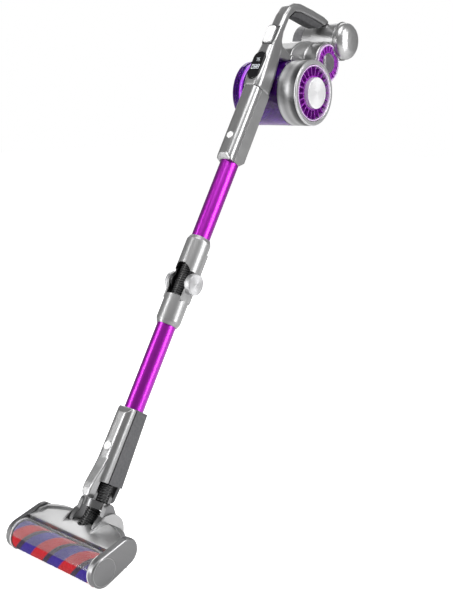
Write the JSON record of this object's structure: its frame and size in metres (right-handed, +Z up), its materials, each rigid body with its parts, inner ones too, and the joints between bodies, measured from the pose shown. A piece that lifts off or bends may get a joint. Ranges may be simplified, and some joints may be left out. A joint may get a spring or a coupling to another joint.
{
  "type": "cordless stick vacuum",
  "caption": "Cordless stick vacuum with a folding purple wand, sideways dust cup, loop handle and a soft-roller floor head that tilts and pitches.",
  "frame": {"origin": "on the floor directly under the roller axis, in the middle of the floor head", "axes": "-Y forward (roller side), +X across towards the filter drum's side, +Z up"},
  "size_m": [0.25, 0.9058, 1.0548],
  "materials": {
    "silver_plastic": "satin metallic paint",
    "grey_plastic": "satin",
    "dark_plastic": "satin",
    "black_gloss": "glossy",
    "white_plastic": "satin",
    "anodised_tube": "anodised purple",
    "spun_aluminium": "spun",
    "clear_purple": "polished",
    "purple_gloss": "glossy",
    "purple_fins": "glossy",
    "smoked_clear": "polished",
    "black_rubber": "matt",
    "grey_rubber": "soft touch",
    "plush": "soft pile",
    "core_tube": "drawn",
    "steel": "turned",
    "filter_paper": "pleated",
    "circuit": "solder mask",
    "cell_wrap": "shrink wrap"
  },
  "bodies": {
    "main_unit": {"main_neck_front": "silver_plastic", "main_neck_rear": "silver_plastic", "inlet_duct": "dark_plastic", "handle_left": "silver_plastic", "handle_right": "silver_plastic", "grip_rubber": "grey_rubber", "switch_bezel": "grey_plastic", "display_lens": "black_gloss", "circuit_boards": "circuit", "dust_cup": "clear_purple", "lid_hinge_pin": "steel", "cyclone_shroud": "dark_plastic", "cyclone_cones": "purple_gloss", "filter_drum": "spun_aluminium", "motor_housing": "silver_plastic", "exhaust_rings": "purple_fins", "exhaust_domes": "grey_plastic", "fan_motor": "steel", "battery_sleeve": "silver_plastic", "battery_cap": "silver_plastic"},
    "power_switch": {"power_switch": "white_plastic"},
    "wand_release_button": {"wand_release_button": "white_plastic"},
    "impeller": {"impeller": "dark_plastic"},
    "cup_lid": {"dust_cup_lid": "clear_purple"},
    "lid_latch": {"lid_latch": "purple_gloss"},
    "filter": {"filter_fin_ring": "purple_fins", "filter_disc": "spun_aluminium", "pleated_filter": "filter_paper"},
    "battery": {"battery_shell": "dark_plastic", "battery_cells": "cell_wrap"},
    "battery_button": {"battery_button": "white_plastic"},
    "upper_wand": {"upper_tube": "anodised_tube", "upper_joint_housing": "silver_plastic", "fold_bellows": "black_rubber"},
    "fold_release_slider": {"fold_release_slider": "grey_plastic"},
    "lower_wand": {"lower_tube": "anodised_tube", "lower_joint_housing": "silver_plastic", "fold_pins": "steel", "fold_knobs": "spun_aluminium"},
    "neck": {"neck_front_shell": "silver_plastic", "neck_rear_shell": "grey_plastic", "lean_bellows": "black_rubber"},
    "head_release_button": {"head_release_button": "white_plastic"},
    "yoke": {"yoke": "grey_plastic", "pitch_pins": "steel"},
    "floor_head": {"head_cover": "silver_plastic", "head_base": "dark_plastic", "roller_window": "smoked_clear", "roller_trim_rings": "white_plastic", "end_cap_left": "grey_plastic", "end_cap_right": "grey_plastic", "roller_motor": "steel", "wheel_axles": "steel", "squeegee_strip": "black_rubber", "base_screws": "steel", "pitch_bellows": "black_rubber"},
    "roller": {"roller_core": "core_tube", "roller_plush": "plush"},
    "rear_wheel_left": {"rear_wheel_left": "dark_plastic"},
    "rear_wheel_right": {"rear_wheel_right": "dark_plastic"}
  },
  "joints": [
    {"name": "power_switch_press", "type": "slide", "parent": "main_unit", "child": "power_switch", "axis": [0, 0.848, -0.5299], "range_m": [0, 0.0018], "stiffness_N_per_m": 400},
    {"name": "wand_release_press", "type": "slide", "parent": "main_unit", "child": "wand_release_button", "axis": [0, 0.848, -0.5299], "range_m": [0, 0.0025], "stiffness_N_per_m": 400},
    {"name": "impeller_spin", "type": "hinge", "parent": "main_unit", "child": "impeller", "pos_m": [0, 0.77515, 0.92987], "axis": [1, 0, 0], "continuous": true},
    {"name": "cup_lid_open", "type": "hinge", "parent": "main_unit", "child": "cup_lid", "pos_m": [-0.089, 0.72023, 0.92822], "axis": [0, 0.848, -0.5299], "range_deg": [0, 90]},
    {"name": "lid_latch_press", "type": "hinge", "parent": "cup_lid", "child": "lid_latch", "pos_m": [-0.0915, 0.6408, 0.80109], "axis": [0, 0.848, -0.5299], "range_deg": [0, 12], "stiffness_Nm_per_rad": 0.05},
    {"name": "filter_pull", "type": "slide", "parent": "main_unit", "child": "filter", "axis": [1, 0, 0], "range_m": [0, 0.05]},
    {"name": "battery_slide", "type": "slide", "parent": "main_unit", "child": "battery", "axis": [-1, 0, 0], "range_m": [0, 0.09]},
    {"name": "battery_button_press", "type": "slide", "parent": "battery", "child": "battery_button", "axis": [0, -0.5299, -0.848], "range_m": [0, 0.002], "stiffness_N_per_m": 400},
    {"name": "wand_pull", "type": "slide", "parent": "main_unit", "child": "upper_wand", "axis": [0, -0.5299, -0.848], "range_m": [0, 0.072]},
    {"name": "wand_fold", "type": "hinge", "parent": "upper_wand", "child": "lower_wand", "pos_m": [0, 0.3442, 0.48929], "axis": [-1, 0, 0], "range_deg": [0, 90], "deforming": ["fold_bellows"]},
    {"name": "fold_release_slide", "type": "slide", "parent": "upper_wand", "child": "fold_release_slider", "axis": [0, 0.5299, 0.848], "range_m": [0, 0.008], "stiffness_N_per_m": 400},
    {"name": "head_pull", "type": "slide", "parent": "lower_wand", "child": "neck", "axis": [0, -0.5299, -0.848], "range_m": [0, 0.045]},
    {"name": "head_release_press", "type": "slide", "parent": "neck", "child": "head_release_button", "axis": [0, 0.848, -0.5299], "range_m": [0, 0.0025], "stiffness_N_per_m": 400},
    {"name": "head_tilt", "type": "hinge", "parent": "neck", "child": "yoke", "pos_m": [0, 0.10521, 0.10682], "axis": [0, 0.848, -0.5299], "range_deg": [-45, 45], "deforming": ["lean_bellows"]},
    {"name": "head_pitch", "type": "hinge", "parent": "yoke", "child": "floor_head", "pos_m": [0, 0.088, 0.046], "axis": [1, 0, 0], "range_deg": [-32, 53], "deforming": ["pitch_bellows"]},
    {"name": "roller_spin", "type": "hinge", "parent": "floor_head", "child": "roller", "pos_m": [0, 0, 0.0287], "axis": [1, 0, 0], "continuous": true},
    {"name": "rear_wheel_left_spin", "type": "hinge", "parent": "floor_head", "child": "rear_wheel_left", "pos_m": [-0.06, 0.07, 0.0087], "axis": [1, 0, 0], "continuous": true},
    {"name": "rear_wheel_right_spin", "type": "hinge", "parent": "floor_head", "child": "rear_wheel_right", "pos_m": [0.06, 0.07, 0.0087], "axis": [1, 0, 0], "continuous": true}
  ]
}
